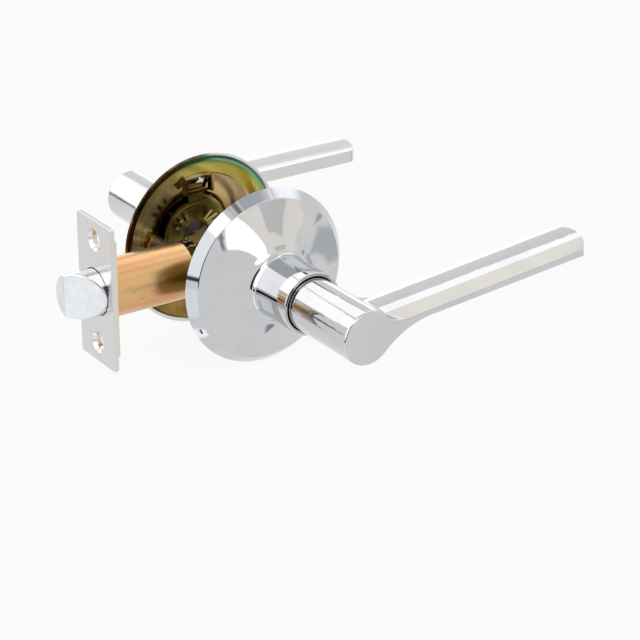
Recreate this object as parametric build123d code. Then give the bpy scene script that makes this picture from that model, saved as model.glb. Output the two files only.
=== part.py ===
from build123d import *
import math
import os

# Door and set-out
DOOR_THICKNESS = 44.4
BACKSET = 60.0

# Faceplate and its backing plate
FACEPLATE_HEIGHT = 57.15
FACEPLATE_WIDTH = 25.4
FACEPLATE_THICKNESS = 1.6
FACEPLATE_CORNER = 1.2
BACKING_HEIGHT = 47.0
BACKING_WIDTH = 22.6
BACKING_THICKNESS = 1.5
SCREW_SPACING = 41.3
SCREW_HOLE_RADIUS = 3.2
COUNTERSINK_DEPTH = 1.1
FACEPLATE_EDGE_ROUND = 0.3

# Spring bolt
BOLT_RADIUS = 9.0
BOLT_PROJECTION = 12.0
BOLT_EDGE_OFFSET = 2.5
BEVEL_ANGLE = 45.0
BOLT_COLLAR_LENGTH = 9.3
BOLT_BORE_RADIUS = 4.8
BOLT_BORE_WALL = 1.2
END_CAP_THICKNESS = 1.6
BOLT_EDGE_ROUND = 0.6

# Latch tube and rear case
TUBE_RADIUS = 11.0
TUBE_WALL = 1.0
CASE_HEAD = 23.0
CASE_TAIL = 25.0
CASE_WIDTH = 8.0
CASE_HEIGHT = 22.0
CASE_WALL = 0.8
CASE_EAR = 2.0
TOP_PLATE_SETBACK = 4.2
RIVET_RADIUS = 1.0
RIVET_HEAD_RADIUS = 1.6
RIVET_HEAD_HEIGHT = 0.6
RIVET_HEIGHT = 7.0
FRONT_RIVET_SETBACK = 1.36
REAR_RIVET_INSET = 4.0

# Hub, cam arm and retractor
LEVER_TURN = 62.0
HUB_RADIUS = 7.4
JOURNAL_RADIUS = 6.5
JOURNAL_PROUD = 0.6
SPINDLE_WIDTH = 7.0
CAM_THICKNESS = 2.6
CAM_TIP_RADIUS = 11.6
CAM_ROOT_WIDTH = 6.0
CAM_TIP_WIDTH = 2.6
CAM_NOSE_RADIUS = 0.8
CAM_PLAY = 0.3
RAIL_HEIGHT = 2.0
RAIL_THICKNESS = 1.2
RAIL_TAIL = 7.0
BRIDGE_LENGTH = 4.0
NECK_HEIGHT = 5.2
NECK_THICKNESS = 2.4
HEAD_RADIUS = 4.4
HEAD_THICKNESS = 1.6
FORK_BASE_LENGTH = 3.0
FORK_HEIGHT = 11.0

# Rose, a thin pressed cover with a bevelled rim, a shallow cone and a collar
ROSE_RADIUS = 34.8
RIM_HEIGHT = 3.65
RIM_TOP_RADIUS = 31.6
CONE_TOP_RADIUS = 15.8
CONE_TOP_HEIGHT = 10.4
CONE_SAG = 0.5
COLLAR_RADIUS = 12.4
COLLAR_HEIGHT = 32.3
COLLAR_FILLET = 3.2
ROSE_WALL = 0.9
RIM_EDGE_ROUND = 0.8
COLLAR_EDGE_ROUND = 0.4
RELEASE_SLOT_WIDTH = 2.2
RELEASE_SLOT_HEIGHT = 0.9
RELEASE_SLOT_ANGLE = 207.0

# Liner, the dished plate inside the rose
LINER_WALL = 0.8
LINER_LIP_WIDTH = 1.0
BAND_DEPTH = 2.2
LEDGE_RADIUS = 26.0
LEDGE_STEP = 0.5
WALL_FOOT_RADIUS = 17.6
WALL_FOOT_DEPTH = 6.4
FLOOR_RADIUS = 16.0
FLOOR_DEPTH = 7.4
SCREW_PITCH = 38.0
PAD_RADIUS = 4.2
PAD_DEPTH = 3.2
PAD_HEIGHT = 2.0
PAD_FLOOR = 0.9
WINDOW_WIDTH = 10.6
WINDOW_TOP_RADIUS = 24.6
WINDOW_FLANGE = 0.9
WINDOW_FLANGE_RISE = 1.4
WINDOW_FLANGE_DEPTH = 4.0
WINDOW_BAR = 1.0

# Spring cover in the bottom of the dish
COVER_RADIUS = 14.5
COVER_THICKNESS = 1.0
COVER_DEPTH = 4.4
COVER_HOLE_RADIUS = 6.0
COVER_RING_RADIUS = 13.2
COVER_RING_WIDTH = 0.7
COVER_RING_RISE = 0.4
TONGUE_WIDTH = 6.4
TONGUE_REACH = 21.2
FOOT_RADIUS = 1.2
FOOT_PITCH_RADIUS = 12.6
FINGER_LENGTH = 5.4
FINGER_WIDTH = 1.2
FINGER_THICKNESS = 0.6
FINGER_TILT = 28.0
FINGER_ROOT_RADIUS = 6.9
FINGER_FAN = 22.0

# Bush, retaining ring and return spring on the lever's shank
SHANK_RADIUS = 7.5
SHANK_END_DEPTH = 5.9
BUSH_WALL = 0.9
BUSH_FLANGE_RADIUS = 11.2
BUSH_FLANGE_THICKNESS = 0.6
BUSH_HEIGHT = 13.2
RING_THICKNESS = 0.8
RING_WIDTH = 2.2
RING_GROOVE = 0.7
RING_OPENING = 5.0
RETURN_WIRE = 0.6
RETURN_TURNS = 3
RETURN_RADIUS = 9.9
BOLT_WIRE = 0.4
BOLT_SPRING_TURNS = 5

# Lever: a round neck whose flat end runs out into a bevelled arm
NECK_RADIUS = 10.5
NECK_ROOT_HEIGHT = 14.6
FRONT_LEVER_HEIGHT = 68.0
BACK_LEVER_HEIGHT = 56.8
FRONT_ARM_RISE = 5.4
BACK_ARM_RISE = 0.0
ARM_LENGTH = 102.3
ARM_DEPTH = 18.4
BEVEL_WIDTH = 3.65
RIDGE_TOP = 5.35
CROWN_INSET = 8.0
CROWN_TOP = 5.75
INNER_TOP = 4.5
INNER_FOOT = -0.6
STRIP_TOP = 1.7
STRIP_FOOT_ROOT = -0.4
STRIP_FOOT_TIP = -1.2
TEARDROP_LOWER_FILLET = 34.0
TEARDROP_UPPER_FILLET = 12.0
ARM_TOP_FILLET = 2.0
ELBOW_RADIUS = 5.0
TIP_CROWN_RADIUS = 24.0
TIP_INNER_RADIUS = 4.0
TIP_OUTER_RADIUS = 2.0
END_FACE_ROUND = 0.8
SOCKET_DEPTH = 31.0

# Mounting posts and screws
SCREW_RADIUS = 2.0
SCREW_HEAD_RADIUS = 3.1
SCREW_HEAD_HEIGHT = 1.4
SCREW_DRIVE_WIDTH = 1.0
SCREW_DRIVE_DEPTH = 0.8
POST_RADIUS = 3.4
POST_BORE_DEPTH = 15.0
POST_STUB_HEIGHT = 1.8

# Clearances
RUN_GAP = 0.3
SLIDE_FIT = 0.08
PRESS_FIT = 0.02
STOP_GAP = 0.05

# Places along the latch, from the back of the faceplate
EDGE_X = -FACEPLATE_THICKNESS
SPINDLE_X = BACKSET + EDGE_X
NOSE_X = EDGE_X - BOLT_PROJECTION
TUBE_END = SPINDLE_X - CASE_HEAD
CASE_END = SPINDLE_X + CASE_TAIL
TOP_PLATE_X = TUBE_END + TOP_PLATE_SETBACK
TUBE_BORE = TUBE_RADIUS - TUBE_WALL
CASE_INNER_WIDTH = CASE_WIDTH - 2 * CASE_WALL
CASE_INNER_HEIGHT = CASE_HEIGHT - 2 * CASE_WALL
COLLAR_X = BACKING_THICKNESS + STOP_GAP
BOLT_END = COLLAR_X + BOLT_COLLAR_LENGTH
CAP_X = BOLT_END - END_CAP_THICKNESS
BEVEL_SLOPE = math.tan(math.radians(BEVEL_ANGLE))
BORE_X = NOSE_X + (BOLT_EDGE_OFFSET + BOLT_BORE_RADIUS) / BEVEL_SLOPE + BOLT_BORE_WALL

# The cam arm swings evenly about upright, so its flank moves the rail by twice a tangent
RAIL_TOP = CASE_INNER_HEIGHT / 2 - RUN_GAP
NOSE_Z = RAIL_TOP - CAM_NOSE_RADIUS
HALF_TURN = math.radians(LEVER_TURN / 2)
THROW = 2 * NOSE_Z * math.tan(HALF_TURN)
NOSE_REST_X = SPINDLE_X - THROW / 2 + CAM_NOSE_RADIUS / math.cos(HALF_TURN) + CAM_PLAY
PRONG_END = SPINDLE_X - HUB_RADIUS - RUN_GAP - THROW
SHOULDER_X = PRONG_END - RAIL_HEIGHT

# Places along the spindle, from the middle of the door
SEAT_Y = DOOR_THICKNESS / 2
FLOOR_Y = SEAT_Y + FLOOR_DEPTH

SPINDLE_AXIS = Axis((SPINDLE_X, 0, 0), (0, 1, 0))


def box_between(low, high):
    """Block from its lowest to its highest corner."""
    size = [b - a for a, b in zip(low, high)]
    middle = [(a + b) / 2 for a, b in zip(low, high)]
    return Pos(*middle) * Box(*size)


def rod_x(radius, start, end, y=0.0, z=0.0):
    """Cylinder along X."""
    return Pos((start + end) / 2, y, z) * Rot(0, 90, 0) * Cylinder(radius, end - start)


def rod_y(radius, start, end, x=SPINDLE_X, z=0.0):
    """Cylinder along Y."""
    return Pos(x, (start + end) / 2, z) * Rot(90, 0, 0) * Cylinder(radius, end - start)


def turned(points):
    """Solid turned about the spindle axis from (radius, depth from the rose's seat) points."""
    outline = Polyline([(SPINDLE_X + r, SEAT_Y + h) for r, h in points], close=True)
    return revolve(make_face(outline), axis=SPINDLE_AXIS)


def to_front(shape):
    """The same piece on the front of the door."""
    return mirror(shape, about=Plane.XZ)


def side_plane(y):
    """Sketch plane across the spindle: its x is the latch's X and its y is Z."""
    return Plane(origin=(SPINDLE_X, y, 0), x_dir=(1, 0, 0), z_dir=(0, -1, 0))


def extruded_y(sketch, start, end):
    """Sketch drawn about the spindle axis, extruded along Y."""
    return extrude(side_plane(end) * sketch, amount=end - start)


def plate_with_holes(height, width, start, end, corner):
    """Door-edge plate with the bolt's hole and two screw holes."""
    blank = extrude(Plane.YZ.offset(start) * RectangleRounded(width, height, corner), amount=end - start)
    blank -= rod_x(BOLT_RADIUS + RUN_GAP, start, end)
    for z in (-SCREW_SPACING / 2, SCREW_SPACING / 2):
        blank -= rod_x(SCREW_HOLE_RADIUS, start, end, z=z)
    return blank


def faceplate():
    plate = plate_with_holes(FACEPLATE_HEIGHT, FACEPLATE_WIDTH, EDGE_X, 0, FACEPLATE_CORNER)
    for z in (-SCREW_SPACING / 2, SCREW_SPACING / 2):
        sink = Cone(SCREW_HOLE_RADIUS + COUNTERSINK_DEPTH, SCREW_HOLE_RADIUS, COUNTERSINK_DEPTH)
        plate -= Pos(EDGE_X + COUNTERSINK_DEPTH / 2, 0, z) * Rot(0, 90, 0) * sink
    outline = plate.faces().sort_by(Axis.X)[0].outer_wire().edges()
    return fillet(outline, FACEPLATE_EDGE_ROUND)


def faceplate_backing():
    return plate_with_holes(BACKING_HEIGHT, BACKING_WIDTH, 0, BACKING_THICKNESS, FACEPLATE_CORNER)


def latch_tube():
    tube = rod_x(TUBE_RADIUS, BACKING_THICKNESS, TUBE_END)
    return tube - rod_x(TUBE_BORE, BACKING_THICKNESS, TUBE_END)


def case_wall(side):
    """Side wall of the case, with an ear that enters the tube."""
    inner = side * CASE_INNER_WIDTH / 2
    outer = side * CASE_WIDTH / 2
    low, high = min(inner, outer), max(inner, outer)
    ear = math.sqrt(TUBE_BORE**2 - (CASE_WIDTH / 2) ** 2) - PRESS_FIT
    half = CASE_HEIGHT / 2 - CASE_WALL
    wall = box_between((TUBE_END, low, -half), (CASE_END - CASE_WALL, high, half))
    wall += box_between((TUBE_END - CASE_EAR, low, -ear), (TUBE_END, high, ear))
    wall -= rod_y(JOURNAL_RADIUS + SLIDE_FIT, low, high)
    for x in (SPINDLE_X - SCREW_PITCH / 2, SPINDLE_X + SCREW_PITCH / 2):
        wall -= rod_y(SCREW_RADIUS + RUN_GAP, low, high, x=x)
    for x, z in rivet_places():
        wall -= rod_y(RIVET_RADIUS + PRESS_FIT, low, high, x=x, z=z)
    return wall


def case_body():
    """Back wall, folded top and bottom plates and end, with a slot for the cam arm's tip."""
    half_width = CASE_WIDTH / 2
    half_height = CASE_HEIGHT / 2
    body = case_wall(1)
    for low, high in ((half_height - CASE_WALL, half_height), (-half_height, CASE_WALL - half_height)):
        body += box_between((TOP_PLATE_X, -half_width, low), (CASE_END, half_width, high))
    body += box_between(
        (CASE_END - CASE_WALL, -half_width, -half_height), (CASE_END, half_width, half_height)
    )
    reach = CAM_TIP_RADIUS * math.sin(HALF_TURN)
    slot_half = CAM_THICKNESS / 2 + RUN_GAP
    body -= box_between(
        (SPINDLE_X - reach - CAM_TIP_WIDTH, -slot_half, half_height - CASE_WALL),
        (SPINDLE_X + reach + CAM_TIP_WIDTH, slot_half, half_height),
    )
    return body


def case_cover():
    return case_wall(-1)


def rivet_places():
    front = SHOULDER_X - FRONT_RIVET_SETBACK
    rear = CASE_END - REAR_RIVET_INSET
    return [(x, z) for x in (front, rear) for z in (-RIVET_HEIGHT, RIVET_HEIGHT)]


def case_rivets():
    face = CASE_WIDTH / 2
    rivets = []
    for x, z in rivet_places():
        rivet = rod_y(RIVET_RADIUS, -face, face, x=x, z=z)
        for start, end in ((-face - RIVET_HEAD_HEIGHT, -face), (face, face + RIVET_HEAD_HEIGHT)):
            rivet += rod_y(RIVET_HEAD_RADIUS, start, end, x=x, z=z)
        rivets.append(rivet)
    return Compound(children=rivets)


def latch_bolt():
    """Round bolt with a flat bevel, a guide collar and a bore for the retractor's head."""
    bolt = rod_x(BOLT_RADIUS, NOSE_X, COLLAR_X) + rod_x(TUBE_BORE - SLIDE_FIT, COLLAR_X, BOLT_END)
    near = BOLT_EDGE_OFFSET + BOLT_RADIUS
    bevel = Polygon(
        (NOSE_X, BOLT_EDGE_OFFSET),
        (NOSE_X, -near),
        (NOSE_X + (BOLT_EDGE_OFFSET + near) / BEVEL_SLOPE, -near),
        align=None,
    )
    bolt -= extrude(bevel, amount=BOLT_RADIUS, both=True)
    bolt = fillet(bolt.edges().filter_by(lambda e: e.center().X < EDGE_X), BOLT_EDGE_ROUND)
    return bolt - rod_x(BOLT_BORE_RADIUS, BORE_X, BOLT_END)


def bolt_end_cap():
    cap = rod_x(BOLT_BORE_RADIUS - PRESS_FIT, CAP_X, BOLT_END)
    half_y = NECK_THICKNESS / 2 + RUN_GAP
    half_z = NECK_HEIGHT / 2 + RUN_GAP
    return cap - box_between((CAP_X, -half_y, -half_z), (BOLT_END, half_y, half_z))


def coil(wire, radius, start, end, turns):
    """Round wire wound along Z from start to end, with both ends inside that length."""
    pitch = (end - start - 2 * wire) / turns
    path = Helix(pitch=pitch, height=pitch * turns, radius=radius)
    section = Plane(origin=path @ 0, z_dir=path % 0) * Circle(wire)
    return Pos(0, 0, start + wire) * sweep(section, path=path, is_frenet=True)


def bolt_spring():
    """Spring in the bolt's bore, between its front wall and the retractor's head."""
    start = BORE_X + STOP_GAP
    end = CAP_X - HEAD_THICKNESS - 2 * STOP_GAP
    return Rot(0, 90, 0) * coil(BOLT_WIRE, HEAD_RADIUS - BOLT_WIRE, start, end, BOLT_SPRING_TURNS)


def retractor():
    """Headed neck in the bolt, and a fork of two plates that straddles the screw and the hub."""
    head_end = CAP_X - STOP_GAP
    slot_x = SPINDLE_X - SCREW_PITCH / 2 - SCREW_RADIUS - RUN_GAP - THROW
    base_x = slot_x - FORK_BASE_LENGTH
    half_neck = NECK_THICKNESS / 2
    gap = CAM_THICKNESS / 2 + RUN_GAP
    outside = gap + RAIL_THICKNESS
    shape = rod_x(HEAD_RADIUS, head_end - HEAD_THICKNESS, head_end)
    shape += box_between((head_end, -half_neck, -NECK_HEIGHT / 2), (base_x, half_neck, NECK_HEIGHT / 2))
    shape += box_between((base_x, -outside, -FORK_HEIGHT / 2), (slot_x, outside, FORK_HEIGHT / 2))
    inside = SCREW_RADIUS + 2 * RUN_GAP
    rail_foot = RAIL_TOP - RAIL_HEIGHT
    tail = SPINDLE_X + RAIL_TAIL
    prong = Polygon(
        (slot_x, inside),
        (PRONG_END, inside),
        (PRONG_END, rail_foot),
        (tail, rail_foot),
        (tail, RAIL_TOP),
        (SHOULDER_X, RAIL_TOP),
        (SHOULDER_X, FORK_HEIGHT / 2),
        (slot_x, FORK_HEIGHT / 2),
        align=None,
    )
    prong = Pos(-SPINDLE_X, 0) * prong
    for start in (gap, -outside):
        upper = extruded_y(prong, start, start + RAIL_THICKNESS)
        shape += upper + mirror(upper, about=Plane.XY)
    nose_foot = NOSE_Z - CAM_NOSE_RADIUS
    shape += rod_y(CAM_NOSE_RADIUS, -outside, outside, x=NOSE_REST_X, z=NOSE_Z)
    shape += box_between(
        (NOSE_REST_X, -outside, nose_foot), (NOSE_REST_X + BRIDGE_LENGTH, outside, RAIL_TOP)
    )
    return shape


def square_hole(start, end, clearance):
    width = SPINDLE_WIDTH + 2 * clearance
    return box_between(
        (SPINDLE_X - width / 2, start, -width / 2), (SPINDLE_X + width / 2, end, width / 2)
    )


def latch_hub():
    """Hub with journals in the case walls and a cam arm that leans to the bolt at rest."""
    half = CASE_INNER_WIDTH / 2 - RUN_GAP
    journal = CASE_WIDTH / 2 + JOURNAL_PROUD
    arm = Polygon(
        (0, 0),
        (0, CAM_TIP_RADIUS),
        (-CAM_TIP_WIDTH, CAM_TIP_RADIUS - CAM_TIP_WIDTH / 2),
        (-CAM_ROOT_WIDTH, 0),
        align=None,
    )
    arm = extruded_y(Rot(0, 0, LEVER_TURN / 2) * arm, -CAM_THICKNESS / 2, CAM_THICKNESS / 2)
    hub = rod_y(HUB_RADIUS, -half, half) + rod_y(JOURNAL_RADIUS, -journal, journal) + arm
    return hub - square_hole(-journal, journal, SLIDE_FIT)


def spindle():
    end = SEAT_Y + SOCKET_DEPTH - RUN_GAP
    return square_hole(-end, end, 0)


def cone_arc(inset):
    """Hollow flank of the rose from rim to collar, set in by the sheet's thickness."""
    start = (RIM_TOP_RADIUS - inset, RIM_HEIGHT - inset)
    end = (CONE_TOP_RADIUS - inset, CONE_TOP_HEIGHT - inset)
    middle = ((start[0] + end[0]) / 2, (start[1] + end[1]) / 2 - CONE_SAG)
    return start, middle, end


def rose_half(inset, foot):
    """Half outline of the rose turned about its axis, solid down to the seat."""
    rim = ROSE_RADIUS - inset
    start, middle, end = cone_arc(inset)
    collar = COLLAR_RADIUS - inset
    place = Pos(SPINDLE_X, SEAT_Y)
    points = [(collar, end[1] + COLLAR_FILLET), (collar, foot), (0, foot), (0, 0), (rim, 0), start]
    outline = Polyline(*points)
    outline += ThreePointArc(start, middle, end)
    outline += Spline(
        end,
        (collar, end[1] + COLLAR_FILLET),
        tangents=[(end[0] - middle[0], end[1] - middle[1]), (0, 1)],
    )
    return revolve(place * make_face(outline), axis=SPINDLE_AXIS)


def rose():
    """Pressed cover, open to the door and at the collar, with a release slot in its rim."""
    blank = rose_half(0, COLLAR_HEIGHT)
    for radius, height, edge_round in (
        (RIM_TOP_RADIUS, RIM_HEIGHT, RIM_EDGE_ROUND),
        (COLLAR_RADIUS, COLLAR_HEIGHT, COLLAR_EDGE_ROUND),
    ):
        ring = blank.edges().filter_by(GeomType.CIRCLE)
        ring = ring.sort_by(lambda e: abs(e.radius - radius) + abs(e.arc_center.Y - SEAT_Y - height))[0]
        blank = fillet(ring, edge_round)
    shell = blank - rose_half(ROSE_WALL, COLLAR_HEIGHT)
    angle = math.radians(RELEASE_SLOT_ANGLE)
    slot = Box(3 * ROSE_WALL + RIM_HEIGHT, RELEASE_SLOT_HEIGHT, RELEASE_SLOT_WIDTH)
    reach = (ROSE_RADIUS + RIM_TOP_RADIUS) / 2
    place = Pos(SPINDLE_X + reach * math.cos(angle), SEAT_Y + RIM_HEIGHT / 2, reach * math.sin(angle))
    return shell - place * Rot(0, -RELEASE_SLOT_ANGLE, 0) * slot


def liner_points():
    """Door side of the liner's half section, from its lip to the bush hole."""
    rim_slope = (ROSE_RADIUS - RIM_TOP_RADIUS) / (RIM_HEIGHT - ROSE_WALL)
    lip = ROSE_RADIUS - ROSE_WALL - (STOP_GAP + LINER_WALL) * rim_slope - SLIDE_FIT
    return [
        (lip, STOP_GAP),
        (lip - LINER_LIP_WIDTH, STOP_GAP),
        (LEDGE_RADIUS + LEDGE_STEP, BAND_DEPTH),
        (LEDGE_RADIUS, BAND_DEPTH + LEDGE_STEP),
        (WALL_FOOT_RADIUS, WALL_FOOT_DEPTH),
        (FLOOR_RADIUS, FLOOR_DEPTH),
        (SHANK_RADIUS + BUSH_WALL + PRESS_FIT + SLIDE_FIT, FLOOR_DEPTH),
    ]


def screw_places():
    return [SPINDLE_X - SCREW_PITCH / 2, SPINDLE_X + SCREW_PITCH / 2]


def liner():
    """Dished plate with screw pads and a flanged window at the top."""
    near = liner_points()
    far = [(r, h + LINER_WALL) for r, h in near]
    plate = turned(near + far[::-1])
    pad_y = SEAT_Y + PAD_DEPTH
    seat_y = pad_y + PAD_FLOOR
    window_foot = WALL_FOOT_RADIUS + LINER_WALL
    half = WINDOW_WIDTH / 2
    for x in screw_places():
        plate += rod_y(PAD_RADIUS, pad_y, pad_y + PAD_HEIGHT, x=x)
        plate -= rod_y(PAD_RADIUS - LINER_WALL, seat_y, FLOOR_Y, x=x)
        plate -= rod_y(SCREW_RADIUS + PRESS_FIT, pad_y, seat_y, x=x)
    plate -= box_between(
        (SPINDLE_X - half, SEAT_Y, window_foot), (SPINDLE_X + half, FLOOR_Y, WINDOW_TOP_RADIUS)
    )
    flange_y = SEAT_Y + BAND_DEPTH - WINDOW_FLANGE_RISE
    for side in (-1, 1):
        edge = SPINDLE_X + side * (half + WINDOW_FLANGE / 2)
        plate += box_between(
            (edge - WINDOW_FLANGE / 2, flange_y, window_foot),
            (edge + WINDOW_FLANGE / 2, SEAT_Y + WINDOW_FLANGE_DEPTH, WINDOW_TOP_RADIUS),
        )
    plate += box_between(
        (SPINDLE_X - half, SEAT_Y + BAND_DEPTH, window_foot),
        (SPINDLE_X + half, SEAT_Y + BAND_DEPTH + WINDOW_BAR, window_foot + WINDOW_BAR),
    )
    return plate


def spring_cover():
    """Disc on four feet, with a raised ring, lanced fingers and a tongue to the liner's window."""
    near = SEAT_Y + COVER_DEPTH
    far = near + COVER_THICKNESS
    cover = rod_y(COVER_RADIUS, near, far)
    ring = rod_y(COVER_RING_RADIUS, near - COVER_RING_RISE, near)
    cover += ring - rod_y(COVER_RING_RADIUS - COVER_RING_WIDTH, near - COVER_RING_RISE, near)
    cover += box_between(
        (SPINDLE_X - TONGUE_WIDTH / 2, near, 0),
        (SPINDLE_X + TONGUE_WIDTH / 2, far, TONGUE_REACH),
    )
    finger = box_between(
        (0, -FINGER_THICKNESS, -FINGER_WIDTH / 2), (FINGER_LENGTH, 0, FINGER_WIDTH / 2)
    )
    finger = Rot(0, 0, -FINGER_TILT) * finger
    for group in (45, 135, 225, 315):
        for fan in (-FINGER_FAN, 0, FINGER_FAN):
            turn = math.radians(group + fan / 2)
            x = SPINDLE_X + FINGER_ROOT_RADIUS * math.cos(turn)
            z = FINGER_ROOT_RADIUS * math.sin(turn)
            cover += Pos(x, near + FINGER_THICKNESS, z) * Rot(0, -(group + fan), 0) * finger
    for angle in (0, 90, 180, 270):
        turn = math.radians(angle + 45)
        x = SPINDLE_X + FOOT_PITCH_RADIUS * math.cos(turn)
        cover += rod_y(FOOT_RADIUS, far, FLOOR_Y, x=x, z=FOOT_PITCH_RADIUS * math.sin(turn))
    return cover - rod_y(COVER_HOLE_RADIUS, near - COVER_RING_RISE, far)


def bush():
    inner = SHANK_RADIUS + SLIDE_FIT
    outer = inner + BUSH_WALL
    flange = FLOOR_DEPTH + LINER_WALL
    return turned(
        [
            (inner, FLOOR_DEPTH),
            (outer, FLOOR_DEPTH),
            (outer, flange),
            (BUSH_FLANGE_RADIUS, flange),
            (BUSH_FLANGE_RADIUS, flange + BUSH_FLANGE_THICKNESS),
            (outer, flange + BUSH_FLANGE_THICKNESS),
            (outer, BUSH_HEIGHT),
            (inner, BUSH_HEIGHT),
        ]
    )


def retaining_ring():
    """Open ring in the shank's groove, behind the liner's floor."""
    end = FLOOR_Y - RUN_GAP
    start = end - RING_THICKNESS
    groove = SHANK_RADIUS - RING_GROOVE + PRESS_FIT
    ring = rod_y(groove + RING_WIDTH, start, end) - rod_y(groove, start, end)
    return ring - box_between(
        (SPINDLE_X - RING_OPENING / 2, start, -groove - 2 * RING_WIDTH),
        (SPINDLE_X + RING_OPENING / 2, end, 0),
    )


def return_spring():
    start = FLOOR_DEPTH + LINER_WALL + BUSH_FLANGE_THICKNESS + STOP_GAP
    end = NECK_ROOT_HEIGHT - RUN_GAP
    wound = coil(RETURN_WIRE, RETURN_RADIUS, start, end, RETURN_TURNS)
    return Pos(SPINDLE_X, SEAT_Y, 0) * Rot(-90, 0, 0) * wound


def blend_arc(foot, slope, radius, side):
    """Arc from the neck's circle to an arm edge that starts at foot: its two ends and its middle."""
    length = math.hypot(1, slope)
    reach = NECK_RADIUS + radius
    rise = foot + side * radius * length
    root = (slope * rise) ** 2 - (1 + slope**2) * (rise**2 - reach**2)
    x = (-slope * rise + math.sqrt(root)) / (1 + slope**2)
    centre = Vector(x, rise + slope * x)
    on_neck = centre * (NECK_RADIUS / reach)
    on_edge = centre + Vector(slope, -1) * (side * radius / length)
    middle = centre + ((on_neck + on_edge) / 2 - centre).normalized() * radius
    return on_neck, middle, on_edge


def lever_outline(top, foot_root, foot_tip, upper_fillet):
    """Round neck end drawn out past the arm's tip, as seen along the spindle."""
    slope = (foot_tip - foot_root) / ARM_LENGTH
    blank = ARM_LENGTH + TIP_OUTER_RADIUS
    upper = blend_arc(top, 0, upper_fillet, 1)
    lower = blend_arc(foot_root, slope, TEARDROP_LOWER_FILLET, -1)
    edges = [
        ThreePointArc(upper[0], (-NECK_RADIUS, 0), lower[0]),
        ThreePointArc(*lower),
        Polyline(lower[2], (blank, foot_root + slope * blank), (blank, top), upper[2]),
        ThreePointArc(*upper[::-1]),
    ]
    return make_face(edges)


def arm_section(inset, top, upper_fillet):
    """Arm outline at a distance in from its end face, on an underside that runs evenly across."""
    share = inset / ARM_DEPTH
    foot_root = STRIP_FOOT_ROOT + (INNER_FOOT - STRIP_FOOT_ROOT) * share
    foot_tip = STRIP_FOOT_TIP + (INNER_FOOT - STRIP_FOOT_TIP) * share
    return lever_outline(top, foot_root, foot_tip, upper_fillet)


def tip_x(inset):
    """Reach of the crowned tip at a distance in from the arm's end face."""
    across = inset - ARM_DEPTH / 2
    return ARM_LENGTH - TIP_CROWN_RADIUS + math.sqrt(TIP_CROWN_RADIUS**2 - across**2)


def tip_cutter():
    """Plan of what is cut from the arm's end to leave its crown and its rounded outer corner."""
    radius = TIP_OUTER_RADIUS
    start = (tip_x(0) - radius, 0)
    end = (tip_x(radius), -radius)
    inner = (tip_x(ARM_DEPTH), -ARM_DEPTH)
    beyond = ARM_LENGTH + 2 * radius
    below = -ARM_DEPTH - radius
    outline = Polyline(
        start, (start[0], radius), (beyond, radius), (beyond, below), (inner[0], below), inner
    )
    outline += ThreePointArc(inner, (ARM_LENGTH, -ARM_DEPTH / 2), end)
    outline += ThreePointArc(end, (tip_x(0) - radius / 3, -radius / 3), start)
    return extrude(make_face(outline), amount=2 * NECK_RADIUS, both=True)


def elbow_web():
    """Hollow corner that carries the arm's inner side into the neck."""
    plan = Rectangle(ELBOW_RADIUS + NECK_RADIUS / 2, ELBOW_RADIUS, align=(Align.MIN, Align.MAX))
    plan = Pos(NECK_RADIUS / 2, 0) * plan
    plan -= Pos(NECK_RADIUS + ELBOW_RADIUS, -ELBOW_RADIUS) * Circle(ELBOW_RADIUS)
    return extrude(plan, amount=INNER_TOP - INNER_FOOT)


def lever_arm(end_y):
    """Arm with a long bevel on its outer top edge and a crowned top, before it is raised."""
    planes = [side_plane(end_y - inset) for inset in (0, BEVEL_WIDTH, CROWN_INSET, ARM_DEPTH)]
    outer = planes[0] * arm_section(0, STRIP_TOP, TEARDROP_UPPER_FILLET)
    ridge = planes[1] * arm_section(BEVEL_WIDTH, RIDGE_TOP, ARM_TOP_FILLET)
    crown = planes[2] * arm_section(CROWN_INSET, CROWN_TOP, ARM_TOP_FILLET)
    inner = planes[3] * arm_section(ARM_DEPTH, INNER_TOP, ARM_TOP_FILLET)
    arm = loft([outer, ridge], ruled=True) + loft([ridge, crown, inner])
    rim = arm.edges().filter_by(lambda e: e.bounding_box().min.Y > end_y - END_FACE_ROUND)
    arm = fillet(rim.sort_by(Axis.X)[:-1], END_FACE_ROUND)
    arm += Pos(SPINDLE_X, end_y - ARM_DEPTH, INNER_FOOT) * elbow_web()
    arm -= Pos(SPINDLE_X, end_y, 0) * tip_cutter()
    corner = arm.edges().filter_by(Axis.Z).filter_by(lambda e: e.center().X > SPINDLE_X + ARM_LENGTH / 2)
    return fillet(corner.sort_by(Axis.Y)[0], TIP_INNER_RADIUS)


def lever(height, rise):
    """Neck, shank and arm in one casting, with a square socket for the spindle."""
    end_y = SEAT_Y + height
    shape = lever_arm(end_y).rotate(SPINDLE_AXIS, -rise)
    shape += rod_y(NECK_RADIUS, SEAT_Y + NECK_ROOT_HEIGHT, end_y - ARM_DEPTH)
    shape += rod_y(SHANK_RADIUS, SEAT_Y + SHANK_END_DEPTH, SEAT_Y + NECK_ROOT_HEIGHT)
    ring_end = FLOOR_Y - RUN_GAP + PRESS_FIT
    ring_start = ring_end - RING_THICKNESS - 2 * PRESS_FIT
    groove = rod_y(SHANK_RADIUS, ring_start, ring_end)
    shape -= groove - rod_y(SHANK_RADIUS - RING_GROOVE, ring_start, ring_end)
    return shape - square_hole(SEAT_Y + SHANK_END_DEPTH, SEAT_Y + SOCKET_DEPTH, PRESS_FIT)


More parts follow.
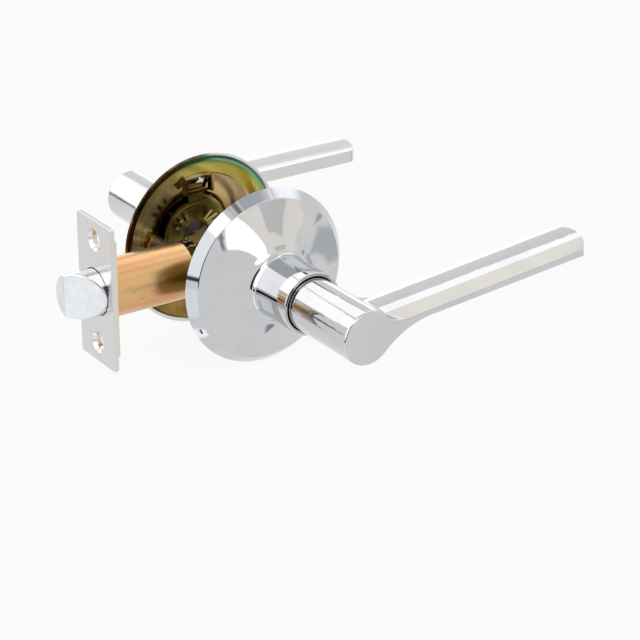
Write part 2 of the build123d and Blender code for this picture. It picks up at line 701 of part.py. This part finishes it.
def mounting_posts():
    """Threaded posts on the back liner's pads, reaching in to the latch case."""
    seat = SEAT_Y + PAD_DEPTH
    start = CASE_WIDTH / 2 + RIVET_HEAD_HEIGHT + RUN_GAP
    posts = []
    for x in screw_places():
        post = rod_y(POST_RADIUS, start, seat, x=x)
        post += rod_y(SCREW_RADIUS, seat, seat + POST_STUB_HEIGHT, x=x)
        posts.append(post - rod_y(SCREW_RADIUS + PRESS_FIT, start, start + POST_BORE_DEPTH, x=x))
    return Compound(children=posts)


def mounting_screws():
    """Slotted screws from the front liner's pads into the posts."""
    seat = -(SEAT_Y + PAD_DEPTH + PAD_FLOOR)
    end = CASE_WIDTH / 2 + RIVET_HEAD_HEIGHT + POST_BORE_DEPTH
    screws = []
    for x in screw_places():
        top = seat - SCREW_HEAD_HEIGHT
        screw = rod_y(SCREW_RADIUS, seat, end, x=x) + rod_y(SCREW_HEAD_RADIUS, top, seat, x=x)
        screw -= box_between(
            (x - SCREW_HEAD_RADIUS, top, -SCREW_DRIVE_WIDTH / 2),
            (x + SCREW_HEAD_RADIUS, top + SCREW_DRIVE_DEPTH, SCREW_DRIVE_WIDTH / 2),
        )
        screws.append(screw)
    return Compound(children=screws)


def pieces():
    shapes = {
        "faceplate": faceplate(),
        "faceplate_backing": faceplate_backing(),
        "latch_tube": latch_tube(),
        "case_body": case_body(),
        "case_cover": case_cover(),
        "case_rivets": case_rivets(),
        "latch_bolt": latch_bolt(),
        "bolt_end_cap": bolt_end_cap(),
        "bolt_spring": bolt_spring(),
        "retractor": retractor(),
        "latch_hub": latch_hub(),
        "spindle": spindle(),
        "mounting_posts": mounting_posts(),
        "mounting_screws": mounting_screws(),
    }
    trim = {
        "rose": rose(),
        "liner": liner(),
        "spring_cover": spring_cover(),
        "bush": bush(),
        "retaining_ring": retaining_ring(),
        "return_spring": return_spring(),
    }
    for name, shape in trim.items():
        shapes["back_" + name] = shape
        shapes["front_" + name] = to_front(shape)
    shapes["back_lever"] = lever(BACK_LEVER_HEIGHT, BACK_ARM_RISE)
    shapes["front_lever"] = to_front(lever(FRONT_LEVER_HEIGHT, FRONT_ARM_RISE))
    return shapes


os.makedirs("parts", exist_ok=True)
for node, solid in pieces().items():
    export_step(solid, "parts/" + node + ".step")
print("throw", round(THROW, 4), "mm over", LEVER_TURN, "degrees")
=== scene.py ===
import math

import bpy
from mathutils import Matrix, Vector


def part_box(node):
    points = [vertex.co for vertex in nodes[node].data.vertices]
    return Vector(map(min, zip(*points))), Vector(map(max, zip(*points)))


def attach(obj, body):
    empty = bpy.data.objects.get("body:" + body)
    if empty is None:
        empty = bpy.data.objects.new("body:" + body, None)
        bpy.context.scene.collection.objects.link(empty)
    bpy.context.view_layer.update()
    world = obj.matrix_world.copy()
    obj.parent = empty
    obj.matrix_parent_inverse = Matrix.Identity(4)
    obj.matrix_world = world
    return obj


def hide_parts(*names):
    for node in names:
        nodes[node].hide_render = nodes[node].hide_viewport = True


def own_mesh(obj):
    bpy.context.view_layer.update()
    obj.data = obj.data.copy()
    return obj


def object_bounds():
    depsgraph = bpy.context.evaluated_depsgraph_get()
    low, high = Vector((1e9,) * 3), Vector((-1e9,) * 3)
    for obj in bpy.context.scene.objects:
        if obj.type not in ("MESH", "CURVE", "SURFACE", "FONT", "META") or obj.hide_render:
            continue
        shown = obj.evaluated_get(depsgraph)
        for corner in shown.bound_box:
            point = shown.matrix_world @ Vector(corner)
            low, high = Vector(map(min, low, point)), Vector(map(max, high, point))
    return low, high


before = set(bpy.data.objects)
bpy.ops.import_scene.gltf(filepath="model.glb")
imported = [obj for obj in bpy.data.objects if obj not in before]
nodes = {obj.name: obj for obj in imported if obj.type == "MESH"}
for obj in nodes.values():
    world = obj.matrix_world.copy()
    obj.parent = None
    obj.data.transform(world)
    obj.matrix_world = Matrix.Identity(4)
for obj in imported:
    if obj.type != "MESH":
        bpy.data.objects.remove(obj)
cad_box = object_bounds()

# Places on the object
middle = (cad_box[0] + cad_box[1]) / 2
spindle_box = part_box("spindle")
spindle = (spindle_box[0] + spindle_box[1]) / 2
tube_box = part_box("latch_tube")

# Camera, from the photograph's viewing angle
CAMERA_PLACE = Vector((-0.3580, -0.6632, 0.3311))
CAMERA_AIM = Vector((0.06694, -0.04696, -0.01130))
CAMERA_ROLL = 0.25
CAMERA_LENS = 124.2
CAMERA_SENSOR = 36.0
CAMERA_NEAR = 0.01
CAMERA_FAR = 20.0

# Studio
FLOOR_SIZE = 6.0
FLOOR_GAP = 0.0002
FLOOR_PAINT = (0.9, 0.9, 0.9, 1.0)
FLOOR_WHITENESS = 0.92
WORLD_LIGHT = 0.55
WORLD_SEEN = 1.0
LAMP_DISTANCE = 1.15
CARD_DISTANCE = 0.95
NEAR_CARD_DISTANCE = 0.85
WHITE = (1.0, 1.0, 1.0, 1.0)

# Chrome and steel
CHROME_LOW = (0.53, 0.535, 0.545)
CHROME_HIGH = (0.57, 0.575, 0.58)
# Paler copy of the same chrome for the back rose and lever: painted light, the same plating drawn lighter
PAINTED_LIGHT_CHROME_LOW = (0.58, 0.58, 0.58)
PAINTED_LIGHT_CHROME_HIGH = (0.63, 0.63, 0.625)
# Near-black painted shade for the lever's shank inside the rose
SHANK_SHADE = (0.10, 0.095, 0.08)
BOLT_LOW = (0.66, 0.66, 0.67)
BOLT_HIGH = (0.74, 0.74, 0.74)
FACEPLATE_LOW = (0.61, 0.60, 0.595)
FACEPLATE_HIGH = (0.65, 0.64, 0.635)
STEEL_LOW = (0.42, 0.42, 0.43)
STEEL_HIGH = (0.52, 0.52, 0.52)
WIRE_LOW = (0.30, 0.30, 0.31)
WIRE_HIGH = (0.42, 0.42, 0.42)

# Brass and the passivated coats
BRASS_LOW = (0.62, 0.44, 0.18)
BRASS_HIGH = (0.72, 0.54, 0.26)
GOLD = (0.62, 0.44, 0.19)
PALE_GOLD = (0.66, 0.58, 0.43)
CREAM_ZINC = (0.70, 0.64, 0.54)
ROSE_GOLD = (0.66, 0.37, 0.18)
COPPER = (0.60, 0.31, 0.15)
TUBE_OLIVE = (0.50, 0.36, 0.14)
SCUFF = (0.50, 0.30, 0.14)
OLIVE = (0.22, 0.17, 0.04)
OLIVE_GOLD = (0.42, 0.34, 0.14)
# Dish coat drawn dark brown and near-black: painted shade for the hollow of the dish, over its brown gold
# coat
DISH_SHADED_DARK = (0.12, 0.075, 0.018)
DISH_SHADED_BROWN = (0.22, 0.145, 0.038)
DISH_GOLD = (0.42, 0.30, 0.11)
PEACH = (0.62, 0.44, 0.22)
YELLOW = (0.74, 0.60, 0.13)
GREEN = (0.30, 0.44, 0.13)
TEAL = (0.08, 0.30, 0.20)
BROWN = (0.28, 0.16, 0.06)

# Lowest and highest roughness of the finishes
BRIGHT = (0.03, 0.06)
HAZED = (0.08, 0.14)
SOFT_BRIGHT = (0.13, 0.18)
DISH_GLOSS = (0.10, 0.18)
COAT_SATIN = (0.2, 0.32)
TUBE_SATIN = (0.25, 0.32)
BACKING_SATIN = (0.25, 0.4)

# Where the finishes change on their pieces
EVEN = (1.0, 1.0, 1.0)
# Where the painted shade on the lever's shank begins, and how fast it fades in
SHANK_END = 0.036
SHANK_FADE = 0.001
CLOUD_FROM_TUBE_END = 0.006
CLOUD_RISE = 0.001
CLOUD_RADIUS = 0.010
RAINBOW_REACH = 0.0345
RAINBOW_SIDE = (0.64, 0.0, 0.77)
RAINBOW_START = 0.012
RAINBOW_FULL = 0.024

# Lips of the collars and the coil in the bolt
LIP_RADIUS = 0.01120
LIP_ROUND = 0.00036
LIP_DEPTH = 0.0005
LIP_STEPS = 160
LIP_SIDES = 20
BOLT_WIRE = 0.0004
COIL_SIDES = 12
COIL_STEPS = 32
COIL_TURNS = 5


class Finish:
    """A metal finish whose colour, roughness and relief come from patterns on Object coordinates."""

    def __init__(self, name):
        self.material = bpy.data.materials.new(name)
        self.material.use_nodes = True
        self.tree = self.material.node_tree
        self.shader = self.tree.nodes["Principled BSDF"]
        self.shader.inputs["Metallic"].default_value = 1.0
        self.place = self.add("ShaderNodeTexCoord").outputs["Object"]
        self.coat = None

    def add(self, kind):
        return self.tree.nodes.new(kind)

    def link(self, source, target):
        self.tree.links.new(source, target)

    def noise(self, scale, detail=3.0, stretch=EVEN):
        """Cloudy pattern, finer along an axis with a larger stretch."""
        mapping = self.add("ShaderNodeMapping")
        mapping.inputs["Scale"].default_value = stretch
        pattern = self.add("ShaderNodeTexNoise")
        pattern.inputs["Scale"].default_value = scale
        pattern.inputs["Detail"].default_value = detail
        self.link(self.place, mapping.inputs["Vector"])
        self.link(mapping.outputs["Vector"], pattern.inputs["Vector"])
        return pattern.outputs["Fac"]

    def ramp(self, factor, stops):
        """Colours at their places along a pattern."""
        ramp = self.add("ShaderNodeValToRGB")
        elements = ramp.color_ramp.elements
        while len(elements) < len(stops):
            elements.new(0.5)
        for element, (place, colour) in zip(elements, stops):
            element.position = place
            element.color = (*colour, 1.0)
        self.link(factor, ramp.inputs["Fac"])
        return ramp.outputs["Color"]

    def remap(self, value, start=0.0, end=1.0, low=0.0, high=1.0, ease="LINEAR"):
        """Goes from low to high as a value goes from start to end."""
        change = self.add("ShaderNodeMapRange")
        change.interpolation_type = ease
        change.inputs["From Min"].default_value = start
        change.inputs["From Max"].default_value = end
        change.inputs["To Min"].default_value = low
        change.inputs["To Max"].default_value = high
        self.link(value, change.inputs["Value"])
        return change.outputs["Result"]

    def fade(self, value, start, end):
        """0 at one value and 1 at another, eased between them."""
        return self.remap(value, start, end, ease="SMOOTHSTEP")

    def spot(self, centre, radius):
        """1 at a point, easing to 0 at a radius."""
        away = self.add("ShaderNodeVectorMath")
        away.operation = "DISTANCE"
        away.inputs[1].default_value = centre
        self.link(self.place, away.inputs[0])
        return self.fade(away.outputs["Value"], radius, 0.0)

    def blend(self, factor, first, second):
        """One pattern over another, by a mask."""
        mix = self.add("ShaderNodeMix")
        mix.data_type = "RGBA"
        self.link(factor, mix.inputs["Factor"])
        self.link(first, mix.inputs["A"])
        self.link(second, mix.inputs["B"])
        return mix.outputs["Result"]

    def overlay(self, factor, under, colour):
        """One colour over a pattern, by a mask."""
        mix = self.add("ShaderNodeMix")
        mix.data_type = "RGBA"
        mix.inputs["B"].default_value = (*colour, 1.0)
        self.link(factor, mix.inputs["Factor"])
        self.link(under, mix.inputs["A"])
        return mix.outputs["Result"]

    def from_spindle(self):
        """Place as seen along the spindle, from its axis."""
        shift = self.add("ShaderNodeVectorMath")
        shift.operation = "MULTIPLY_ADD"
        shift.inputs[1].default_value = (1.0, 0.0, 1.0)
        shift.inputs[2].default_value = (-spindle.x, 0.0, -spindle.z)
        self.link(self.place, shift.inputs[0])
        return shift.outputs["Vector"]

    def off_door(self):
        """Distance from the middle of the door."""
        parts = self.add("ShaderNodeSeparateXYZ")
        self.link(self.place, parts.inputs["Vector"])
        size = self.add("ShaderNodeMath")
        size.operation = "ABSOLUTE"
        self.link(parts.outputs["Y"], size.inputs[0])
        return size.outputs[0]

    def measure(self, operation, vector, other=None):
        """Length of a vector, or its share along another one."""
        node = self.add("ShaderNodeVectorMath")
        node.operation = operation
        self.link(vector, node.inputs[0])
        if other:
            node.inputs[1].default_value = other
        return node.outputs["Value"]

    def colour(self, source):
        """Colours the metal, and keeps the pattern for another one to lie over."""
        self.coat = source
        self.link(source, self.shader.inputs["Base Color"])

    def roughness(self, factor, low, high):
        self.link(self.remap(factor, low=low, high=high), self.shader.inputs["Roughness"])

    def relief(self, height, strength, depth):
        bump = self.add("ShaderNodeBump")
        bump.inputs["Strength"].default_value = strength
        bump.inputs["Distance"].default_value = depth
        self.link(height, bump.inputs["Height"])
        self.link(bump.outputs["Normal"], self.shader.inputs["Normal"])

    def on(self, *names):
        """Puts the finish on CAD nodes."""
        for name in names:
            slots = nodes[name].data.materials
            for index in range(len(slots)):
                slots[index] = self.material


def chrome_plate(name, low, high, rough):
    """Bright plating over a polished casting, with a faint haze."""
    finish = Finish(name)
    haze = finish.noise(scale=90.0, detail=4.0)
    finish.colour(finish.ramp(haze, [(0.3, low), (0.7, high)]))
    finish.roughness(finish.noise(scale=260.0), *rough)
    finish.relief(finish.noise(scale=60.0, detail=2.0), strength=0.05, depth=0.0002)
    return finish


def lever_plate_with_shank_shade(name, low, high, rough):
    """The same plating, with painted shade on the shank inside the rose: a near-black colour there."""
    finish = chrome_plate(name, low, high, rough)
    # Painted shade: the shank inside the rose turns near-black
    inside = finish.fade(finish.off_door(), SHANK_END + SHANK_FADE, SHANK_END)
    finish.colour(finish.overlay(inside, finish.coat, SHANK_SHADE))
    return finish


def bolt_plate():
    """Pale satin plating on the bolt."""
    finish = Finish("bolt_plate")
    haze = finish.noise(scale=240.0, detail=4.0)
    finish.colour(finish.ramp(haze, [(0.3, BOLT_LOW), (0.7, BOLT_HIGH)]))
    finish.roughness(finish.noise(scale=600.0), low=0.10, high=0.18)
    finish.relief(finish.noise(scale=900.0), strength=0.05, depth=0.0001)
    return finish


def faceplate_steel():
    """Stainless plate polished along its length."""
    finish = Finish("faceplate_steel")
    grain = finish.noise(scale=900.0, detail=2.0, stretch=(1.0, 1.0, 0.03))
    finish.colour(finish.ramp(grain, [(0.25, FACEPLATE_LOW), (0.75, FACEPLATE_HIGH)]))
    finish.roughness(grain, low=0.16, high=0.24)
    finish.relief(grain, strength=0.06, depth=0.00005)
    return finish


def passivated(name, stops, scale, rough, stretch=EVEN):
    """Yellow passivated zinc, whose thin coat drifts in colour over the piece."""
    finish = Finish(name)
    drift = finish.noise(scale, stretch=stretch)
    finish.colour(finish.ramp(drift, stops))
    finish.roughness(finish.noise(scale=420.0), *rough)
    finish.relief(finish.noise(scale=700.0, detail=2.0), strength=0.06, depth=0.0001)
    return finish


def backing_gold():
    """Pale gold coat of the plate behind the faceplate."""
    return passivated("backing_gold", [(0.35, PALE_GOLD), (0.65, CREAM_ZINC)], 120.0, BACKING_SATIN)


def case_gold():
    """Olive to gold coat of the latch's case."""
    stops = [(0.35, OLIVE), (0.5, OLIVE_GOLD), (0.65, GOLD)]
    return passivated("case_gold", stops, 70.0, COAT_SATIN)


def cover_olive():
    """Olive coat of the discs at the bottom of the dishes."""
    return passivated("cover_olive", [(0.35, OLIVE), (0.65, OLIVE_GOLD)], 90.0, COAT_SATIN)


def tube_gold():
    """Copper tinted coat, drawn along the tube, with an olive cloud near the case and a few scuffs."""
    stops = [(0.35, COPPER), (0.5, ROSE_GOLD), (0.65, GOLD)]
    finish = passivated("tube_gold", stops, 90.0, TUBE_SATIN, stretch=(0.25, 1.0, 1.0))
    cloud_place = Vector((tube_box[1].x - CLOUD_FROM_TUBE_END, tube_box[0].y, CLOUD_RISE))
    cloud = finish.spot(cloud_place, CLOUD_RADIUS)
    tinted = finish.overlay(cloud, finish.coat, TUBE_OLIVE)
    scuffs = finish.noise(scale=520.0, detail=1.0, stretch=(0.35, 1.0, 1.0))
    worn = finish.fade(scuffs, start=0.70, end=0.78)
    finish.colour(finish.overlay(worn, tinted, SCUFF))
    return finish


def liner_gold():
    """Brown gold coat of the dish, darkened with painted shade for the hollow of the dish, turning yellow,
    green and teal round its upper edge.
    """
    # The dark stops are painted shade of the dish's hollow
    stops = [(0.3, DISH_SHADED_DARK), (0.5, DISH_SHADED_BROWN), (0.7, DISH_GOLD)]
    finish = passivated("liner_gold", stops, 60.0, DISH_GLOSS)
    out = finish.from_spindle()
    reach = finish.measure("LENGTH", out)
    bands = finish.ramp(
        finish.remap(reach, end=RAINBOW_REACH),
        [(0.74, PEACH), (0.78, YELLOW), (0.87, YELLOW), (0.91, GREEN), (0.94, TEAL), (0.97, BROWN)],
    )
    side = finish.measure("DOT_PRODUCT", out, RAINBOW_SIDE)
    banded = finish.fade(side, RAINBOW_START, RAINBOW_FULL)
    finish.colour(finish.blend(banded, finish.coat, bands))
    return finish


def plain_steel():
    """Dull steel of the working parts and fixings."""
    finish = Finish("plain_steel")
    haze = finish.noise(scale=300.0, detail=4.0)
    finish.colour(finish.ramp(haze, [(0.3, STEEL_LOW), (0.7, STEEL_HIGH)]))
    finish.roughness(finish.noise(scale=500.0), low=0.28, high=0.42)
    finish.relief(finish.noise(scale=900.0), strength=0.08, depth=0.0001)
    return finish


def spring_wire(name):
    """Dark drawn wire of the springs and rings."""
    finish = Finish(name)
    haze = finish.noise(scale=500.0)
    finish.colour(finish.ramp(haze, [(0.3, WIRE_LOW), (0.7, WIRE_HIGH)]))
    finish.roughness(finish.noise(scale=800.0), low=0.25, high=0.4)
    return finish


def bush_brass():
    """Turned brass of the bushes."""
    finish = Finish("bush_brass")
    haze = finish.noise(scale=400.0)
    finish.colour(finish.ramp(haze, [(0.3, BRASS_LOW), (0.7, BRASS_HIGH)]))
    finish.roughness(finish.noise(scale=700.0), low=0.25, high=0.38)
    return finish


def dress_metal():
    """Gives every CAD node its finish."""
    chrome_plate("rose_chrome", CHROME_LOW, CHROME_HIGH, BRIGHT).on("front_rose")
    lever_plate_with_shank_shade("lever_chrome", CHROME_LOW, CHROME_HIGH, BRIGHT).on("front_lever")
    # Painted light: the back rose and lever get a paler copy of the same chrome
    chrome_plate("painted_light_rose_chrome", PAINTED_LIGHT_CHROME_LOW, PAINTED_LIGHT_CHROME_HIGH, HAZED).on("back_rose")
    lever_plate_with_shank_shade("painted_light_lever_chrome", PAINTED_LIGHT_CHROME_LOW, PAINTED_LIGHT_CHROME_HIGH, SOFT_BRIGHT).on("back_lever")
    bolt_plate().on("latch_bolt")
    faceplate_steel().on("faceplate")
    backing_gold().on("faceplate_backing")
    tube_gold().on("latch_tube")
    case_gold().on("case_body", "case_cover", "case_rivets")
    cover_olive().on("front_spring_cover", "back_spring_cover")
    liner_gold().on("front_liner", "back_liner")
    plain_steel().on(
        "spindle", "latch_hub", "retractor", "mounting_posts", "mounting_screws", "bolt_end_cap"
    )
    spring_wire("spring_wire").on(
        "bolt_spring",
        "front_return_spring",
        "back_return_spring",
        "front_retaining_ring",
        "back_retaining_ring",
    )
    bush_brass().on("front_bush", "back_bush")


def collar_lip(name, end):
    """Rounded lip turned in at the open end of a rose's collar, close round the lever's neck."""
    bpy.ops.object.select_all(action="DESELECT")
    bpy.ops.mesh.primitive_torus_add(
        location=(spindle.x, end, spindle.z),
        rotation=(math.pi / 2, 0.0, 0.0),
        major_segments=LIP_STEPS,
        minor_segments=LIP_SIDES,
        major_radius=LIP_RADIUS,
        minor_radius=LIP_ROUND,
    )
    bpy.ops.object.transform_apply(location=True, rotation=True, scale=True)
    bpy.ops.object.shade_smooth()
    lip = bpy.context.object
    lip.name = name
    lip.data.materials.append(chrome_plate(name, CHROME_LOW, CHROME_HIGH, BRIGHT).material)
    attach(lip, "fixed_parts")


def bolt_coil():
    """Spring in the bolt's bore, wound again as a coil that rides with the bolt."""
    low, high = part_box("bolt_spring")
    length = high.x - low.x
    bpy.ops.object.select_all(action="DESELECT")
    bpy.ops.mesh.primitive_circle_add(
        vertices=COIL_SIDES,
        radius=BOLT_WIRE,
        location=(low.x + BOLT_WIRE, 0.0, high.z - BOLT_WIRE),
        rotation=(math.pi / 2, 0.0, 0.0),
    )
    bpy.ops.object.transform_apply(location=True, rotation=True, scale=True)
    coil = bpy.context.object
    coil.name = "bolt_coil"
    wind = coil.modifiers.new("wind", "SCREW")
    wind.axis = "X"
    wind.angle = 2 * math.pi * COIL_TURNS
    wind.screw_offset = length - 2 * BOLT_WIRE
    wind.steps = COIL_STEPS * COIL_TURNS
    wind.render_steps = COIL_STEPS * COIL_TURNS
    bpy.ops.object.modifier_apply(modifier="wind")
    bpy.ops.object.mode_set(mode="EDIT")
    bpy.ops.mesh.select_all(action="SELECT")
    bpy.ops.mesh.fill_holes(sides=0)
    bpy.ops.mesh.select_all(action="SELECT")
    bpy.ops.mesh.normals_make_consistent(inside=False)
    bpy.ops.object.mode_set(mode="OBJECT")
    bpy.ops.object.shade_smooth()
    coil.data.materials.append(spring_wire("coil_wire").material)
    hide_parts("bolt_spring")
    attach(coil, "slide")
    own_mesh(coil)


def seen_white(tree):
    """1 for what the camera or the metal sees, and 0 for all other light."""
    rays = tree.nodes.new("ShaderNodeLightPath")
    seen = tree.nodes.new("ShaderNodeMath")
    seen.operation = "MAXIMUM"
    tree.links.new(rays.outputs["Is Camera Ray"], seen.inputs[0])
    tree.links.new(rays.outputs["Is Glossy Ray"], seen.inputs[1])
    return seen.outputs[0]


def studio_floor():
    """Pale floor that reads white to the camera and keeps a soft shadow; the metal sees the white world."""
    bpy.ops.object.select_all(action="DESELECT")
    bpy.ops.mesh.primitive_plane_add(size=FLOOR_SIZE, location=(0, 0, cad_box[0].z - FLOOR_GAP))
    floor = bpy.context.object
    floor.name = "floor"
    material = bpy.data.materials.new("pale_floor")
    material.use_nodes = True
    tree = material.node_tree
    tree.nodes.clear()
    output = tree.nodes.new("ShaderNodeOutputMaterial")
    paint = tree.nodes.new("ShaderNodeBsdfDiffuse")
    paint.inputs["Color"].default_value = FLOOR_PAINT
    glow = tree.nodes.new("ShaderNodeEmission")
    glow.inputs["Color"].default_value = WHITE
    share = tree.nodes.new("ShaderNodeMath")
    share.operation = "MULTIPLY"
    share.inputs[1].default_value = FLOOR_WHITENESS
    mix = tree.nodes.new("ShaderNodeMixShader")
    tree.links.new(seen_white(tree), share.inputs[0])
    tree.links.new(share.outputs[0], mix.inputs["Fac"])
    tree.links.new(paint.outputs["BSDF"], mix.inputs[1])
    tree.links.new(glow.outputs["Emission"], mix.inputs[2])
    tree.links.new(mix.outputs["Shader"], output.inputs["Surface"])
    floor.data.materials.append(material)
    floor.visible_glossy = False


def studio_world():
    """White surroundings for the camera and the metal, and a softer even light for the rest."""
    world = bpy.data.worlds.new("studio")
    world.use_nodes = True
    bpy.context.scene.world = world
    tree = world.node_tree
    surround = tree.nodes["Background"]
    surround.inputs["Color"].default_value = WHITE
    level = tree.nodes.new("ShaderNodeMapRange")
    level.inputs["To Min"].default_value = WORLD_LIGHT
    level.inputs["To Max"].default_value = WORLD_SEEN
    tree.links.new(seen_white(tree), level.inputs["Value"])
    tree.links.new(level.outputs["Result"], surround.inputs["Strength"])


def around(azimuth, elevation, distance):
    """Place round the object, by the angles from its front side and from the level."""
    turn = math.radians(azimuth)
    climb = math.radians(elevation)
    level = math.cos(climb)
    return middle + distance * Vector((math.sin(turn) * level, -math.cos(turn) * level, math.sin(climb)))


def spread(angle, distance):
    """Width that fills an angle at a distance."""
    return 2 * distance * math.tan(math.radians(angle) / 2)


def softbox(name, azimuth, elevation, width, height, power):
    """Soft lamp turned to the object, as wide and high as the angles that it fills."""
    lamp = bpy.data.lights.new(name, "AREA")
    lamp.shape = "RECTANGLE"
    lamp.size = spread(width, LAMP_DISTANCE)
    lamp.size_y = spread(height, LAMP_DISTANCE)
    lamp.energy = power
    holder = bpy.data.objects.new(name, lamp)
    holder.location = around(azimuth, elevation, LAMP_DISTANCE)
    holder.rotation_mode = "QUATERNION"
    holder.rotation_quaternion = (middle - holder.location).to_track_quat("-Z", "Y")
    bpy.context.scene.collection.objects.link(holder)


def card_paint(name, tint, soft):
    """Even tint that fades to white over the outer share of the card."""
    material = bpy.data.materials.new(name)
    material.use_nodes = True
    tree = material.node_tree
    tree.nodes.clear()
    output = tree.nodes.new("ShaderNodeOutputMaterial")
    glow = tree.nodes.new("ShaderNodeEmission")
    place = tree.nodes.new("ShaderNodeTexCoord")
    size = tree.nodes.new("ShaderNodeVectorMath")
    size.operation = "ABSOLUTE"
    parts = tree.nodes.new("ShaderNodeSeparateXYZ")
    edge = tree.nodes.new("ShaderNodeMath")
    edge.operation = "MAXIMUM"
    fade = tree.nodes.new("ShaderNodeMapRange")
    fade.interpolation_type = "SMOOTHSTEP"
    fade.inputs["From Min"].default_value = 0.5 - soft / 2
    fade.inputs["From Max"].default_value = 0.5
    mix = tree.nodes.new("ShaderNodeMix")
    mix.data_type = "RGBA"
    mix.inputs["A"].default_value = (*tint, 1.0)
    mix.inputs["B"].default_value = WHITE
    tree.links.new(place.outputs["Object"], size.inputs[0])
    tree.links.new(size.outputs["Vector"], parts.inputs["Vector"])
    tree.links.new(parts.outputs["X"], edge.inputs[0])
    tree.links.new(parts.outputs["Y"], edge.inputs[1])
    tree.links.new(edge.outputs[0], fade.inputs["Value"])
    tree.links.new(fade.outputs["Result"], mix.inputs["Factor"])
    tree.links.new(mix.outputs["Result"], glow.inputs["Color"])
    tree.links.new(glow.outputs["Emission"], output.inputs["Surface"])
    return material


def card(name, azimuth, elevation, width, height, tint, soft, distance=CARD_DISTANCE):
    """Panel of the studio that only shows in the metal, placed and sized by angles in degrees."""
    place = around(azimuth, elevation, distance)
    turn = (place - middle).to_track_quat("Z", "Y").to_euler()
    bpy.ops.object.select_all(action="DESELECT")
    bpy.ops.mesh.primitive_plane_add(size=1, location=place, rotation=turn)
    panel = bpy.context.object
    panel.name = name
    panel.scale = (spread(width, distance), spread(height, distance), 1)
    panel.data.materials.append(card_paint(name, tint, soft))
    panel.visible_camera = False
    panel.visible_diffuse = False
    panel.visible_transmission = False
    panel.visible_shadow = False


def studio_lamps():
    """One softbox, and cards as the plating reflects them, the small ones in front of the large."""
    softbox("key_softbox", -38, 50, 28, 26, 1.4)
    card("left_wall", -90, 31, 44, 70, (2.4, 2.4, 2.45), 0.02)
    card("left_panel", -60, 22, 17, 48, (1.30, 1.36, 1.42), 0.02)
    card("left_low_panel", -66, -30, 12, 34, (1.15, 1.19, 1.23), 0.3)
    card("left_floor_panel", -89, -46, 20, 48, (1.5, 1.54, 1.58), 0.2)
    card("back_left_panel", -160, 23, 44, 42, (1.75, 1.75, 1.75), 0.1)
    card("camera_side_card", -38.4, 10, 27, 52, (0.012, 0.012, 0.014), 0.05)
    card("front_panel", 4, 16, 17, 23, (2.0, 2.0, 2.0), 0.08)
    card("cream_panel", 34, 17, 44, 26, (1.20, 1.14, 1.07), 0.15)
    card("dusk_panel", 69, -13, 18, 22, (0.66, 0.68, 0.71), 0.4)
    card("right_wall", 84, 50, 24, 56, (1.60, 1.68, 1.76), 0.5)
    card("right_sky_card", 106, 50, 24, 30, (0.90, 0.90, 0.90), 0.9)
    card("back_top_panel", 148, 54, 60, 38, (1.7, 1.7, 1.72), 0.1)
    card("back_low_panel", 148, 7, 44, 15, (1.8, 1.8, 1.8), 0.3)
    card("far_horizon_card", -141, -1, 18, 5, (0.01, 0.01, 0.012), 0.3, NEAR_CARD_DISTANCE)
    card("left_horizon_card", -86, -13, 36, 9, (0.015, 0.015, 0.02), 0.3, NEAR_CARD_DISTANCE)
    card("near_horizon_card", -63, -5, 10, 6, (0.05, 0.06, 0.075), 0.7, NEAR_CARD_DISTANCE)
    card("front_panel_edge", 1, 3, 14, 2.5, (0.35, 0.35, 0.36), 0.5, NEAR_CARD_DISTANCE)
    card("grey_panel", 31, 14, 15, 18, (0.86, 0.85, 0.84), 0.08, NEAR_CARD_DISTANCE)
    card("low_smudge_card", 60, -66, 12, 5, (0.35, 0.38, 0.42), 0.6, NEAR_CARD_DISTANCE)
    card("cream_bevel_panel", 43, 49, 18, 16, (1.34, 1.29, 1.19), 0.3, NEAR_CARD_DISTANCE)
    card("right_top_panel", 58, 51, 14, 10, (1.4, 1.36, 1.3), 0.5, NEAR_CARD_DISTANCE)
    card("sky_seam_card", -10, 64, 9, 8, (0.25, 0.27, 0.30), 0.9, NEAR_CARD_DISTANCE)
    card("sky_card", 20, 67, 50, 9, (0.62, 0.66, 0.72), 0.5, NEAR_CARD_DISTANCE)
    card("back_seam_card", 160, 35, 18, 4, (0.04, 0.04, 0.05), 0.4, NEAR_CARD_DISTANCE)


def photo_camera():
    """Camera where the photograph was taken from, with its slight roll."""
    camera = bpy.data.cameras.new("photo_camera")
    camera.lens = CAMERA_LENS
    camera.sensor_width = CAMERA_SENSOR
    camera.clip_start = CAMERA_NEAR
    camera.clip_end = CAMERA_FAR
    holder = bpy.data.objects.new("photo_camera", camera)
    turn = (CAMERA_AIM - CAMERA_PLACE).to_track_quat("-Z", "Y").to_matrix()
    turn = turn @ Matrix.Rotation(math.radians(CAMERA_ROLL), 3, "Z")
    holder.matrix_world = Matrix.Translation(CAMERA_PLACE) @ turn.to_4x4()
    bpy.context.scene.collection.objects.link(holder)
    bpy.context.scene.camera = holder


bpy.context.scene.view_settings.view_transform = "Standard"
dress_metal()
bolt_coil()
collar_lip("front_collar_lip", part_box("front_rose")[0].y + LIP_DEPTH)
collar_lip("back_collar_lip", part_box("back_rose")[1].y - LIP_DEPTH)
studio_floor()
studio_world()
studio_lamps()
photo_camera()
